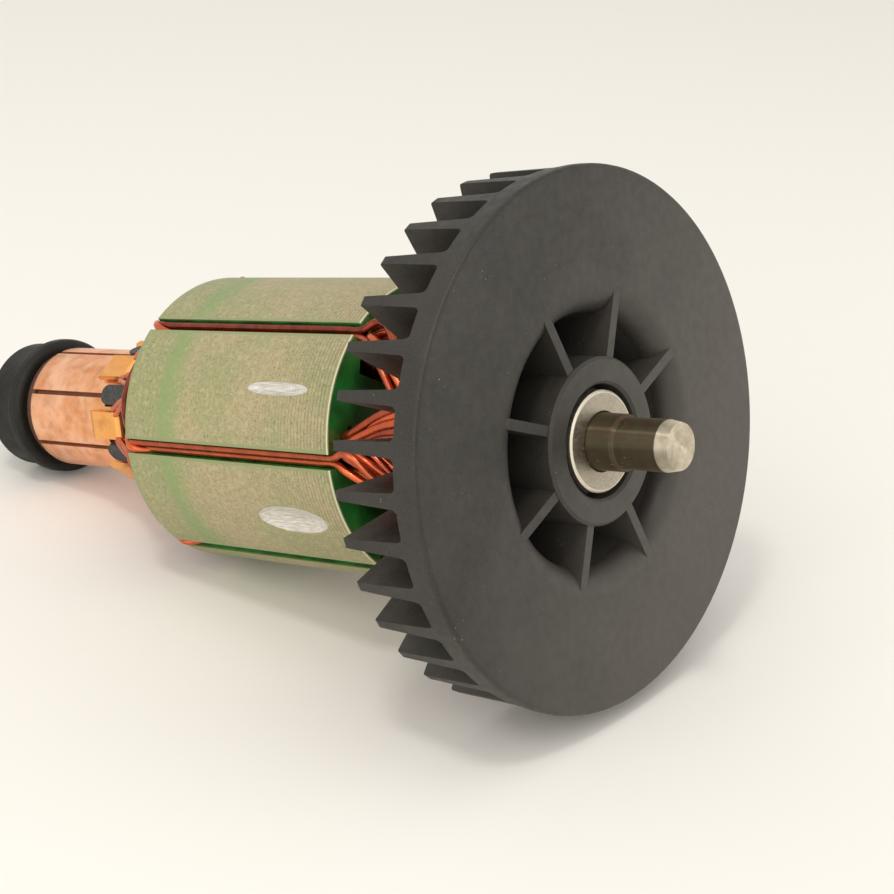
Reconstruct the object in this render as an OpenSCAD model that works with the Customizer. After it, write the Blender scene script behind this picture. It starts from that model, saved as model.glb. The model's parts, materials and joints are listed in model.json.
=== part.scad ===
// Wound armature of a small commutator motor, lying at rest on its fan and end sleeve.
// Every piece is drawn along its own axis (local Z, toward the output stub, with the fan
// face at zero) and place() then lays the whole armature down on the floor.

/* [Cooling fan] */
// Diameter of the fan at its face
fan_d = 57; // [54:0.5:62]
// Thickness of the fan plate at the rim
plate_t = 3; // [2:0.1:4]
// Depth of the full-diameter lip in front of the blades
lip_t = 1.2; // [0.8:0.1:1.6]
// How far the rim stands back between the blades
rim_setback = 0.2; // [0.1:0.05:0.4]
// Number of blades, a multiple of four so that two of them carry the fan
blade_count = 36; // [28:4:44]
// Length of the blades behind the plate
blade_len = 8.2; // [6:0.1:9]
// Blade thickness at its free end
blade_tip_t = 0.95; // [0.8:0.05:1.4]
// Blade thickness above the root fillet
blade_root_t = 1.6; // [1.4:0.05:2]
// Fillet between blade and plate
blade_fillet = 0.7; // [0.4:0.1:0.9]
// Rounding of the blades' free corners
blade_round = 0.3; // [0.2:0.05:0.6]
// Draft of the blade tips toward the rear, as a radius
blade_draft = 0.46; // [0.2:0.02:0.8]
// Radius at which the blades begin
blade_inner_r = 17.2; // [16.2:0.1:20]
// Radius of the annular pocket in the fan face
pocket_r = 13.3; // [12.5:0.1:14]
// Depth of the pocket
pocket_depth = 8; // [5:0.1:8.5]
// Draft of the pocket's outer wall, as a radius at its floor
pocket_draft = 1.6; // [0.8:0.1:1.8]
// Rounding of the pocket's mouth
mouth_r = 2.8; // [1.5:0.1:3]
// Wall of the pocket
pocket_wall = 1.7; // [1.2:0.1:2.2]
// Number of ribs between boss and pocket wall
rib_count = 8; // [5:1:10]
// Thickness of a rib
rib_t = 1.1; // [0.8:0.1:1.6]
// Diameter of the fan boss
boss_d = 17.6; // [16.5:0.1:19]
// How far the boss stands in front of the fan face
boss_proud = 0.35; // [0:0.05:0.8]
// Diameter of the counterbore round the collar
boss_recess_d = 12; // [11.8:0.1:13]
// Length of the boss behind the fan face
boss_len = 11.2; // [10.5:0.1:12]

/* [Collar] */
// Outer diameter of the steel collar
collar_d = 10.7; // [9.5:0.1:11.2]
// Length of the collar
collar_len = 3.2; // [2:0.1:5]
// How far the collar lies below the face of the boss
collar_sink = 0.05; // [0:0.05:0.6]
// Chamfer on the collar's bore
collar_chamfer = 0.2; // [0.1:0.05:0.4]

/* [Shaft] */
// Diameter of the output stub
stub_d = 5.4; // [4.5:0.1:6]
// Length of the output stub in front of the fan face
stub_len = 10; // [7:0.1:16]
// Length of the lead-in chamfer on the stub
stub_chamfer_len = 1.4; // [0.5:0.05:1.5]
// Diameter of the stub's end face
stub_tip_d = 4.9; // [3.8:0.1:5.2]
// Diameter of the shaft in the fan and in the commutator
seat_d = 6; // [5.8:0.1:6.8]
// How far the fan seat comes out in front of the fan face
seat_proud = 3.2; // [1:0.1:4]
// Length of the taper from seat to stub
taper_len = 0.4; // [0.2:0.1:2]
// Diameter of the shaft in the lamination stack
core_seat_d = 8; // [7.5:0.1:8.6]
// Diameter of the rear journal
journal_d = 5; // [4:0.1:5]
// Length of the rear journal behind the shoulder
journal_len = 8; // [6:0.5:14]
// How far the steel shoulder stands behind the end sleeve, for a bearing to rest on
shoulder_proud = 0.6; // [0.3:0.1:1.5]
// Chamfer on the shoulder's edge
shoulder_chamfer = 0.25; // [0.1:0.05:0.35]
// Corner fillet between journal and shoulder, smaller than the bearing's own chamfer
journal_fillet = 0.2; // [0.1:0.05:0.3]
// Chamfer on the rear journal
journal_chamfer = 0.4; // [0.2:0.1:0.8]

/* [Lamination stack] */
// Diameter of the ground stack
core_d = 33.7; // [32.5:0.1:35]
// Length over the coated end faces
core_len = 32.8; // [28:0.4:40]
// Distance from the fan face to the stack
core_start = 23; // [22.5:0.1:26]
// Number of slots, coils and commutator bars
slot_count = 7; // [7:1:7]
// Width of the slot opening
slot_opening = 2.4; // [2:0.1:2.8]
// Width of a tooth's body
tooth_w = 5; // [4.6:0.1:5.4]
// Radius of the solid middle of a lamination
hub_r = 7.4; // [7.2:0.1:7.8]
// Thickness of a tooth tip at the slot opening
tip_t = 1.3; // [1:0.1:1.6]
// Depth from the rim to where the tooth tip meets the tooth body
tip_root_depth = 2.8; // [2.4:0.1:3]
// Angle of the first slot round the shaft
slot_phase = 7.8; // [0:0.1:51]

/* [Balance cuts] */
// Radius of the milling cutter
cutter_r = 22; // [15:1:30]
// Edge radius of the cutter for the narrow cut
narrow_edge_r = 0.9; // [0.7:0.1:1.5]
// Depth of the narrow cut
narrow_cut = 0.55; // [0.2:0.05:0.7]
// Edge radius of the cutter for the wide cut
wide_edge_r = 3.2; // [2:0.1:4]
// Depth of the wide cut
wide_cut = 0.7; // [0.5:0.05:1]
// Distance from the fan face to the middle of the cuts
cut_station = 31.3; // [28:0.1:50]

/* [Insulation] */
// Thickness of the epoxy coat on slot walls and end faces
coat_t = 0.35; // [0.25:0.05:0.45]
// Wall of the insulating sleeves on the shaft
sleeve_wall = 0.9; // [0.6:0.1:1.2]

/* [Windings] */
// Centre radius of the outer coil side in a slot
outer_side_r = 13.45; // [13.35:0.05:13.5]
// Centre radius of the inner coil side in a slot
inner_side_r = 9.9; // [9.85:0.05:9.95]
// Straight stretch of a coil beyond the stack
coil_straight = 1.8; // [1.6:0.1:2.2]
// Rise of the end turns above the straight stretch, fan end
fan_rise = 8.4; // [6:0.1:8.6]
// Rise of the end turns above the straight stretch, commutator end
bar_rise = 4.6; // [4.4:0.1:5.2]
// Diameter of the enamelled wire
wire_d = 0.9; // [0.7:0.05:0.95]

/* [Commutator] */
// Diameter of the brush track
track_d = 15.3; // [14.8:0.1:16]
// Radial thickness of the copper bars
bar_t = 2.4; // [1.8:0.1:2.6]
// Length of the bars
bar_len = 18.9; // [16:0.1:22]
// Distance from the stack to the riser end of the bars
riser_gap = 11.2; // [11:0.1:13]
// Width of the slits between the bars
slit_w = 0.6; // [0.4:0.05:0.8]
// Depth of the slits below the brush track
slit_depth = 0.8; // [0.4:0.1:1.2]
// Width of a hook
hook_w = 3.4; // [2.4:0.1:3.6]
// Length of a hook along the bar
hook_len = 5.6; // [4:0.1:6]
// Thickness of the hook's sheet
hook_t = 0.7; // [0.6:0.05:0.9]
// Width of the moulded pegs between the hooks
peg_w = 2.5; // [1.8:0.1:2.6]
// Length of the pegs on the bars
peg_len = 3.9; // [3:0.1:4.4]
// How far the pegs stand above the brush track
peg_rise = 0.9; // [0.5:0.1:1.2]
// Thickness of the moulding's collar next to the coils
front_flange_t = 1.4; // [1:0.1:1.6]
// Thickness of the moulding's collar next to the end sleeve
rear_flange_t = 1.3; // [1:0.1:2]
// How far both collars lie below the brush track
flange_step = 0.4; // [0.2:0.1:0.8]

/* [End sleeve] */
// Diameter of the sleeve's flange
flange_d = 17.5; // [17:0.1:18.5]
// Length of the flange
flange_len = 2.3; // [1.2:0.1:2.6]
// Diameter of the sleeve's body
sleeve_d = 16.1; // [15:0.1:16.5]
// Length of the body behind the flange
sleeve_len = 4.8; // [4.4:0.1:7]
// Rounding of the sleeve's edges
sleeve_round = 0.5; // [0.3:0.1:0.8]
// Rounding of the flange's edge next to the commutator
flange_round = 0.9; // [0.3:0.1:1.2]

/* [Fits] */
// Radial and end clearance between pressed pieces
fit = 0.02; // [0.01:0.01:0.05]

/* [Hidden] */

$fn = 96;
TINY = 0.01;
// How deep the shapes of one body run into each other
OVERLAP = 0.5;

// Stations along the axis, all measured from the fan face
core_front_z = -core_start;
core_rear_z = core_front_z - core_len;
bar_front_z = core_rear_z - riser_gap;
bar_rear_z = bar_front_z - bar_len;
moulding_front_z = bar_front_z + front_flange_t;
moulding_rear_z = bar_rear_z - rear_flange_t;
flange_front_z = moulding_rear_z - fit;
flange_rear_z = flange_front_z - flange_len;
sleeve_rear_z = flange_rear_z - sleeve_len;
blade_rear_z = -plate_t - blade_len;
seat_step_z = -boss_len - fit;
seat_rear_z = moulding_front_z + fit;
collar_front_z = boss_proud - collar_sink;
collar_rear_z = collar_front_z - collar_len;

// Radii
fan_r = fan_d / 2;
blade_tip_r = fan_r - blade_draft;
rim_round = 0.5;
boss_r = boss_d / 2;
core_r = core_d / 2;
track_r = track_d / 2;
bar_inner_r = track_r - bar_t;
slot_pitch = 360 / slot_count;
sleeve_outer_r = core_seat_d / 2 + fit + sleeve_wall;

// Resting pose: the two lowest blade corners and the rear edge of the end sleeve touch the floor
blade_pitch = 360 / blade_count;
corner_angle = blade_pitch / 2 - asin(blade_tip_t / 2 / blade_tip_r);
fan_foot_r = (blade_tip_r - blade_round) * cos(corner_angle);
fan_foot_z = blade_rear_z + blade_round;
sleeve_foot_r = sleeve_d / 2 - sleeve_round;
sleeve_foot_z = sleeve_rear_z + sleeve_round;
lever_z = fan_foot_z - sleeve_foot_z;
lever_r = sleeve_foot_r - fan_foot_r;
tilt = asin((blade_round * cos(corner_angle) - sleeve_round) / norm([lever_z, lever_r]))
       - atan2(lever_r, lever_z);
lift = fan_foot_r * cos(tilt) + blade_round - fan_foot_z * sin(tilt);
tip_x = stub_len * cos(tilt) + stub_tip_d / 2 * sin(tilt);
shoulder_z = sleeve_rear_z - shoulder_proud;
tail_z = shoulder_z - journal_len;
tail_x = tail_z * cos(tilt) - (journal_d / 2 - journal_chamfer) * sin(tilt);
shift = -(tip_x + tail_x) / 2;

module place() {
    translate([shift, 0, lift]) rotate([0, -tilt, 0]) rotate([0, 90, 0]) children();
}

// Points of an arc from angle a0 to a1
function arc(cx, cy, r, a0, a1, steps) =
    [for (i = [0:steps]) let (a = a0 + (a1 - a0) * i / steps) [cx + r * cos(a), cy + r * sin(a)]];

// Mirror image of a list of points in the X axis, in the reverse order
function mirrored(points) =
    [for (i = [len(points) - 1:-1:0]) [points[i][0], -points[i][1]]];

// Point at radius r on a line that runs beside the ray at half a slot pitch, w away from it
function beside_ray(r, w) =
    let (s = sqrt(r * r - w * w), b = slot_pitch / 2)
    [s * cos(b) + w * sin(b), s * sin(b) - w * cos(b)];

// ---------------------------------------------------------------- shaft and collar

module shaft() {
    color("#8d867c") place() rotate_extrude()
        polygon([
            [0, stub_len],
            [stub_tip_d / 2, stub_len],
            [stub_d / 2, stub_len - stub_chamfer_len],
            [stub_d / 2, seat_proud + taper_len],
            [seat_d / 2, seat_proud],
            [seat_d / 2, seat_step_z],
            [core_seat_d / 2, seat_step_z],
            [core_seat_d / 2, seat_rear_z],
            [seat_d / 2, seat_rear_z],
            [seat_d / 2, shoulder_z + shoulder_chamfer],
            [seat_d / 2 - shoulder_chamfer, shoulder_z],
            [journal_d / 2 + journal_fillet, shoulder_z],
            [journal_d / 2, shoulder_z - journal_fillet],
            [journal_d / 2, tail_z + journal_chamfer],
            [journal_d / 2 - journal_chamfer, tail_z],
            [0, tail_z]]);
}

module fan_collar() {
    bore_r = seat_d / 2 + fit;
    color("#c9c6bd") place() rotate_extrude()
        polygon([
            [bore_r + collar_chamfer, collar_front_z],
            [collar_d / 2 - collar_chamfer, collar_front_z],
            [collar_d / 2, collar_front_z - collar_chamfer],
            [collar_d / 2, collar_rear_z],
            [bore_r, collar_rear_z],
            [bore_r, collar_front_z - collar_chamfer]]);
}

// ---------------------------------------------------------------- cooling fan

// Section of plate, pocket and boss, without blades and ribs
module fan_section() {
    floor_z = -pocket_depth;
    back_z = floor_z - pocket_wall;
    seat_z = collar_rear_z - fit;
    boss_edge = 0.3;
    boss_slope = 1.2;
    floor_round = 1.5;
    floor_r = pocket_r + pocket_wall - floor_round;
    lip_r = fan_r - rim_setback;
    difference() {
        union() {
            polygon(concat(
                [[pocket_r, 0]],
                arc(fan_r - rim_round, -rim_round, rim_round, 90, 0, 4),
                [[fan_r, -lip_t], [lip_r, -lip_t], [lip_r, -plate_t], [pocket_r, -plate_t]]));
            polygon(concat(
                [[pocket_r, -TINY], [pocket_r + pocket_wall, -plate_t]],
                arc(floor_r, back_z + floor_round, floor_round, 0, -90, 4),
                [[boss_r - OVERLAP, back_z], [boss_r - OVERLAP, floor_z],
                 [pocket_r - pocket_draft, floor_z], [pocket_r, -mouth_r]]));
            polygon([
                [0, boss_proud], [boss_r - boss_edge, boss_proud], [boss_r, boss_proud - boss_edge],
                [boss_r, back_z], [boss_r - boss_slope, -boss_len], [0, -boss_len]]);
        }
        difference() {
            translate([pocket_r - 1, -mouth_r]) square([mouth_r + 1, mouth_r + 1]);
            translate([pocket_r + mouth_r, -mouth_r]) circle(r = mouth_r);
        }
        square([seat_d + 2 * fit, 4 * boss_len], center = true);
        translate([0, seat_z]) square([boss_recess_d / 2, boss_len]);
        polygon([
            [boss_recess_d / 2 - TINY, boss_proud - boss_edge],
            [boss_recess_d / 2 + boss_edge + TINY, boss_proud + TINY],
            [boss_recess_d / 2 - TINY, boss_proud + TINY]]);
    }
}

// One straight radial blade, thick at the root, thinner toward its free end, with fillets
module blade() {
    root_z = -plate_t + TINY;
    flank = concat(
        [[blade_root_t / 2 + blade_fillet, -lip_t], [blade_root_t / 2 + blade_fillet, root_z]],
        arc(blade_root_t / 2 + blade_fillet, root_z - blade_fillet, blade_fillet, 90, 180, 3),
        [[blade_tip_t / 2, blade_rear_z - TINY]]);
    rotate([90, 0, 90]) translate([0, 0, blade_inner_r - OVERLAP])
        linear_extrude(fan_r - blade_inner_r + OVERLAP)
            polygon(concat(flank, [for (i = [len(flank) - 1:-1:0]) [-flank[i][0], flank[i][1]]]));
}

// Side view of the blades, turned about the axis
module blade_envelope() {
    slant = 1.8;
    inner_round = 0.8;
    rotate_extrude()
        polygon(concat(
            [[blade_inner_r, -lip_t - TINY], [fan_r - rim_setback, -lip_t - TINY]],
            arc(blade_tip_r - blade_round, blade_rear_z + blade_round, blade_round, 0, -90, 3),
            arc(blade_inner_r + slant + inner_round, blade_rear_z + inner_round,
                inner_round, -90, -170, 3)));
}

module rib() {
    rib_drop = 0.04;
    outer_r = pocket_r + mouth_r - 0.3;
    wall_r = pocket_r + pocket_wall / 2;
    rotate([90, 0, 0]) linear_extrude(rib_t, center = true)
        polygon([
            [boss_r - OVERLAP, -rib_drop], [outer_r, -rib_drop], [outer_r, -plate_t / 3],
            [wall_r, -plate_t], [wall_r, -pocket_depth - OVERLAP],
            [boss_r - OVERLAP, -pocket_depth - OVERLAP]]);
}

module cooling_fan() {
    rib_phase = 21.5;
    color("#35332f") place() {
        rotate_extrude() fan_section();
        intersection() {
            union() {
                for (i = [0:blade_count - 1])
                    rotate([0, 0, (i + 0.5) * blade_pitch]) blade();
            }
            blade_envelope();
        }
        for (i = [0:rib_count - 1])
            rotate([0, 0, rib_phase + i * 360 / rib_count]) rib();
    }
}

// ---------------------------------------------------------------- lamination stack

// Outline of one slot, narrowed on all sides by inset
function slot_outline(inset) =
    let (
        w = tooth_w / 2 + inset,
        half = slot_opening / 2 - inset,
        lip_r = core_r - tip_t - inset,
        upper = [
            beside_ray(hub_r + inset, w),
            beside_ray(core_r - tip_root_depth - inset, w),
            [sqrt(lip_r * lip_r - half * half), half],
            [core_r + 1, half]])
    concat(upper, mirrored(upper));

module slots(inset) {
    for (i = [0:slot_count - 1])
        rotate(slot_phase + i * slot_pitch) polygon(slot_outline(inset));
}

// One lamination, or the coat on it
module lamination(inset) {
    difference() {
        circle(r = core_r);
        slots(inset);
        circle(d = core_seat_d + 2 * fit);
    }
}

// Dish-shaped cut of a milling cutter that dips into tooth number i
module balance_cut(i, depth, edge_r) {
    rotate([0, 0, slot_phase + (i + 0.5) * slot_pitch])
        translate([core_r - depth + cutter_r, 0, -cut_station])
            rotate([90, 0, 0])
                rotate_extrude() {
                    translate([0, -edge_r]) square([cutter_r - edge_r, 2 * edge_r]);
                    intersection() {
                        translate([cutter_r - edge_r, 0]) circle(r = edge_r);
                        translate([0, -edge_r]) square([cutter_r, 2 * edge_r]);
                    }
                }
}

module lamination_stack() {
    color("#a8a67c") place() difference() {
        translate([0, 0, core_rear_z + coat_t])
            linear_extrude(core_len - 2 * coat_t) lamination(0);
        balance_cut(4, narrow_cut, narrow_edge_r);
        balance_cut(5, wide_cut, wide_edge_r);
    }
}

module epoxy_coat() {
    color("#2f7a35") place() {
        translate([0, 0, core_rear_z]) linear_extrude(coat_t) lamination(coat_t);
        translate([0, 0, core_front_z - coat_t]) linear_extrude(coat_t) lamination(coat_t);
        translate([0, 0, core_rear_z]) linear_extrude(core_len)
            intersection() {
                circle(r = core_r);
                difference() {
                    slots(0);
                    slots(coat_t);
                }
            }
    }
}

// Tube that keeps the end turns off the shaft
module shaft_tube(z_from, z_to) {
    translate([0, 0, z_from]) difference() {
        cylinder(r = sleeve_outer_r, h = z_to - z_from);
        translate([0, 0, -1]) cylinder(d = core_seat_d + 2 * fit, h = z_to - z_from + 2);
    }
}

module front_sleeve() {
    color("#d8d2bd") place() shaft_tube(core_front_z + fit, -boss_len - 2 * fit);
}

module rear_sleeve() {
    color("#d8d2bd") place() shaft_tube(moulding_front_z + fit, core_rear_z - fit);
}

// ---------------------------------------------------------------- windings

// A coil lies in the outer half of one slot and in the inner half of the slot two further on.
// Each station is [radius, angle, z, radial half size, width half size, wedge].
coil_span = 2 * slot_pitch;
turn_steps = 10;
outer_size = [1.42, 2.1, 0];
inner_size = [2.0, 1.4, 0.4];
turn_size = [1.3, 1.8, 0];

// Radii of an end turn: middle, swing from outer to inner side, and dip toward the shaft
fan_turn = [11.3, 2.4, 0.6, fan_rise];
bar_turn = [9.9, 2.5, 0.6, bar_rise];

function end_turn(t, z0, side, turn) =
    let (mix = sin(180 * t), ends = t < 0.5 ? outer_size : inner_size,
         size = ends * (1 - mix) + turn_size * mix)
    concat([turn[0] + turn[1] * cos(180 * t) - turn[2] * mix, coil_span * t,
            z0 + side * (coil_straight + turn[3] * pow(mix, 0.75))], size);

coil_front_z = core_front_z;
coil_rear_z = core_rear_z;

coil_stations = concat(
    [concat([outer_side_r, 0, coil_front_z], outer_size)],
    [for (i = [0:turn_steps]) end_turn(i / turn_steps, coil_front_z, 1, fan_turn)],
    [concat([inner_side_r, coil_span, coil_front_z], inner_size)],
    [concat([inner_side_r, coil_span, coil_rear_z], inner_size)],
    [for (i = [turn_steps:-1:0]) end_turn(i / turn_steps, coil_rear_z, -1, bar_turn)],
    [concat([outer_side_r, 0, coil_rear_z], outer_size)]);

function spoke(a) = [cos(a), sin(a), 0];

function station_point(s) = s[0] * spoke(s[1]) + [0, 0, s[2]];

// Ring of points round one station, with a shallow groove between neighbouring strands
strands = 8;
groove = 0.87;
function coil_ring(stations, i) =
    let (
        n = len(stations), s = stations[i], e = spoke(s[1]),
        ahead = station_point(stations[(i + 1) % n]), behind = station_point(stations[(i + n - 1) % n]),
        run = (ahead - station_point(s)) / norm(ahead - station_point(s))
              + (station_point(s) - behind) / norm(station_point(s) - behind),
        along = run - (run * e) * e,
        side = cross(along, e) / norm(cross(along, e)))
    [for (j = [0:2 * strands - 1])
        let (a = j * 180 / strands, k = (j % 2 == 0 ? 1 : groove))
        station_point(s) + k * s[3] * cos(a) * e
        + k * s[4] * sin(a) * (1 + s[5] * cos(a)) * side];

module closed_tube(rings) {
    n = len(rings);
    m = len(rings[0]);
    polyhedron(
        points = [for (ring = rings) for (p = ring) p],
        faces = [for (i = [0:n - 1]) for (j = [0:m - 1])
            let (i2 = (i + 1) % n, j2 = (j + 1) % m)
            each [[i * m + j, i * m + j2, i2 * m + j2], [i * m + j, i2 * m + j2, i2 * m + j]]]);
}

module coil(k) {
    color("#b5602f") place() rotate([0, 0, slot_phase + (k - 1) * slot_pitch])
        closed_tube([for (i = [0:len(coil_stations) - 1]) coil_ring(coil_stations, i)]);
}

// ---------------------------------------------------------------- commutator

// Sector between two rays that lie beside the slits, w away from their middle planes
module sector(w) {
    upper = [beside_ray(bar_inner_r / 2, w), beside_ray(4 * track_r, w)];
    polygon(concat(upper, mirrored(upper)));
}

module bar_section(w) {
    intersection() {
        difference() {
            circle(r = track_r);
            circle(r = bar_inner_r);
        }
        sector(w);
    }
}

// Side view of a hook: it rises at the riser end and folds back over the bar
hook_gap = wire_d / 2;
module hook_outline() {
    under_r = track_r + hook_gap;
    top_r = under_r + hook_t;
    bend = 0.9;
    lead_in = 0.8;
    nib = 0.2;
    tip_z = bar_front_z - hook_len;
    polygon(concat(
        [[bar_front_z, track_r - bar_t / 2]],
        arc(bar_front_z - bend, top_r - bend, bend, 0, 90, 5),
        [[tip_z + lead_in, top_r], [tip_z, top_r - hook_t / 2], [tip_z, under_r - nib],
         [tip_z + hook_t, under_r - nib], [tip_z + 2 * hook_t, under_r]],
        [[bar_front_z - hook_t, under_r], [bar_front_z - hook_t, track_r - bar_t / 2]]));
}

module commutator_bar(k) {
    peg_rear_z = bar_front_z - peg_len;
    peg_gap = 0.1;
    step = 0.3;
    color("#c9824e") place() rotate([0, 0, slot_phase + (k - 1) * slot_pitch]) {
        translate([0, 0, bar_rear_z])
            linear_extrude(bar_len - peg_len - peg_gap) bar_section(slit_w / 2);
        translate([0, 0, peg_rear_z - step])
            linear_extrude(peg_len + step) bar_section(peg_w / 2 + peg_gap);
        rotate([0, -90, -90]) translate([0, 0, -hook_w / 2])
            linear_extrude(hook_w) hook_outline();
    }
}

// Peg that stands between two hooks, from a rounded end on the bars to the moulding's front
module peg() {
    round_z = bar_front_z - peg_len + peg_w / 2;
    translate([bar_inner_r - OVERLAP, 0, 0]) rotate([0, 90, 0])
        linear_extrude(track_r + peg_rise - bar_inner_r + OVERLAP) {
            translate([-moulding_front_z, -peg_w / 2]) square([moulding_front_z - round_z, peg_w]);
            translate([-round_z, 0]) circle(d = peg_w);
        }
}

module commutator_moulding() {
    collar_r = track_r - flange_step;
    color("#3a3230") place() difference() {
        union() {
            rotate_extrude()
                polygon([
                    [0, moulding_front_z], [collar_r, moulding_front_z],
                    [collar_r, bar_front_z + fit], [bar_inner_r - fit, bar_front_z + fit],
                    [bar_inner_r - fit, bar_rear_z - fit], [collar_r, bar_rear_z - fit],
                    [collar_r, moulding_rear_z], [0, moulding_rear_z]]);
            for (i = [0:slot_count - 1])
                rotate([0, 0, slot_phase + (i + 0.5) * slot_pitch]) {
                    translate([bar_inner_r - OVERLAP, fit - slit_w / 2, bar_rear_z - TINY])
                        cube([bar_t - slit_depth + OVERLAP, slit_w - 2 * fit, bar_len - peg_len / 2]);
                    peg();
                }
        }
        translate([0, 0, moulding_rear_z - 1])
            cylinder(d = seat_d + 2 * fit, h = moulding_front_z - moulding_rear_z + 2);
    }
}

module end_sleeve() {
    body_r = sleeve_d / 2;
    rim_r = flange_d / 2;
    color("#2c2b29") place() rotate_extrude()
        polygon(concat(
            [[seat_d / 2 + fit, flange_front_z]],
            arc(rim_r - flange_round, flange_front_z - flange_round, flange_round, 90, 0, 5),
            arc(rim_r - sleeve_round, flange_rear_z + sleeve_round, sleeve_round, 0, -90, 4),
            [[body_r, flange_rear_z]],
            arc(body_r - sleeve_round, sleeve_rear_z + sleeve_round, sleeve_round, 0, -90, 4),
            [[seat_d / 2 + fit, sleeve_rear_z]]));
}

shaft();
cooling_fan();
fan_collar();
lamination_stack();
epoxy_coat();
front_sleeve();
rear_sleeve();
coil(1);  // coil_1
coil(2);  // coil_2
coil(3);  // coil_3
coil(4);  // coil_4
coil(5);  // coil_5
coil(6);  // coil_6
coil(7);  // coil_7
commutator_moulding();
commutator_bar(1);  // commutator_bar_1
commutator_bar(2);  // commutator_bar_2
commutator_bar(3);  // commutator_bar_3
commutator_bar(4);  // commutator_bar_4
commutator_bar(5);  // commutator_bar_5
commutator_bar(6);  // commutator_bar_6
commutator_bar(7);  // commutator_bar_7
end_sleeve();
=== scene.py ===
"""Dresses the wound armature of a small commutator motor: materials, wires, light and camera."""

import json
import logging
import math
import random
from dataclasses import dataclass, field
from enum import Enum

import bmesh
import bpy
from mathutils import Matrix, Vector


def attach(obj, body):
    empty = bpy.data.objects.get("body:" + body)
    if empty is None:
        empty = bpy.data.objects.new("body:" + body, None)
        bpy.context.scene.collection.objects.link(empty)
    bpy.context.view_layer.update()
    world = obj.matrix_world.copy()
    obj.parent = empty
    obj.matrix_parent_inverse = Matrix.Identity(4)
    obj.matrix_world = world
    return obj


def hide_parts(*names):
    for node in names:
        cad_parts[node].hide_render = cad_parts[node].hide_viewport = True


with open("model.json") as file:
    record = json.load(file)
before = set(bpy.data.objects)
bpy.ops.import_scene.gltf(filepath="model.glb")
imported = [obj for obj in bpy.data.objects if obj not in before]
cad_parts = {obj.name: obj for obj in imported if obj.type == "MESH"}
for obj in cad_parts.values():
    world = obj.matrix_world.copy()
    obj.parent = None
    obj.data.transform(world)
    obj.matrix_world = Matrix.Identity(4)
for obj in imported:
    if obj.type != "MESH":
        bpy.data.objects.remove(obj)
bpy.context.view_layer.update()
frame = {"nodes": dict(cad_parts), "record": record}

log = logging.getLogger("armature")
MM = 0.001
# from the fan face to the middle of the bearing seat on the output stub
SEAT_MM = 6.1
# a colour is a hex value or the socket of a pattern
Tone = str | bpy.types.NodeSocket


def colour(code: str) -> tuple[float, float, float, float]:
    """Turn an sRGB hex value into linear light.

    Args:
        code: Six hex digits after a hash.

    Returns:
        Linear red, green, blue and an alpha of one.
    """
    parts = [int(code[i:i + 2], 16) / 255 for i in (1, 3, 5)]
    linear = [c / 12.92 if c <= 0.04045 else ((c + 0.055) / 1.055) ** 2.4 for c in parts]
    return (linear[0], linear[1], linear[2], 1.0)


def add_node(tree: bpy.types.NodeTree, kind: str, settings: dict | None = None,
             links: dict | None = None) -> bpy.types.Node:
    """Add one shader node with its settings and incoming links.

    Args:
        tree: Node tree that takes the node.
        kind: Blender's type name of the node.
        settings: Attribute names, or input socket names or numbers, and their values.
        links: Input socket names or numbers, and the output sockets that feed them.

    Returns:
        The new node.
    """
    node = tree.nodes.new(kind)
    for key, value in (settings or {}).items():
        if isinstance(key, str) and hasattr(node, key):
            setattr(node, key, value)
        else:
            node.inputs[key].default_value = value
    for key, output in (links or {}).items():
        tree.links.new(output, node.inputs[key])
    return node


# ------------------------------------------------------------------------ armature's own frame

@dataclass(frozen=True)
class Axis:
    """The armature's own axis: local Z runs to the output stub, local X points down."""

    face: Vector
    along: Vector

    @classmethod
    def from_record(cls, seat_mm: float) -> "Axis":
        """Read the axis from the output stub's mount.

        Args:
            seat_mm: Distance from the fan face to the middle of the stub's seat.

        Returns:
            The axis, with its zero at the fan face.
        """
        stub = next(m for m in frame["record"]["mounts"] if m["name"] == "output_stub")
        along = Vector(stub["axis"]).normalized()
        return cls(Vector(stub["pos_m"]) - along * seat_mm * MM, along)

    @property
    def matrix(self) -> Matrix:
        """Matrix from the armature's own frame in millimetres to the row frame in metres."""
        down = Vector((self.along.z, 0.0, -self.along.x))
        side = self.along.cross(down)
        rot = Matrix((down, side, self.along)).transposed().to_4x4()
        return Matrix.Translation(self.face) @ rot @ Matrix.Scale(MM, 4)

    def coords(self, tree: bpy.types.NodeTree) -> dict[str, bpy.types.NodeSocket]:
        """Give a material the armature's own coordinates, in millimetres.

        Args:
            tree: Node tree of the material.

        Returns:
            Sockets named point, z (station along the axis) and radius.
        """
        inverse = self.matrix.inverted()
        where = add_node(tree, "ShaderNodeTexCoord")
        turned = add_node(tree, "ShaderNodeMapping", {
            "vector_type": "POINT", "Location": inverse.to_translation(),
            "Rotation": inverse.to_quaternion().to_euler("XYZ"),
            "Scale": (1 / MM, 1 / MM, 1 / MM)}, {"Vector": where.outputs["Object"]})
        split = add_node(tree, "ShaderNodeSeparateXYZ", {}, {0: turned.outputs[0]})
        flat = add_node(tree, "ShaderNodeCombineXYZ", {},
                        {"X": split.outputs["X"], "Y": split.outputs["Y"]})
        radius = add_node(tree, "ShaderNodeVectorMath", {"operation": "LENGTH"},
                          {0: flat.outputs[0]})
        return {"point": turned.outputs[0], "z": split.outputs["Z"],
                "radius": radius.outputs["Value"]}


AXIS = Axis.from_record(seat_mm=SEAT_MM)


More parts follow.
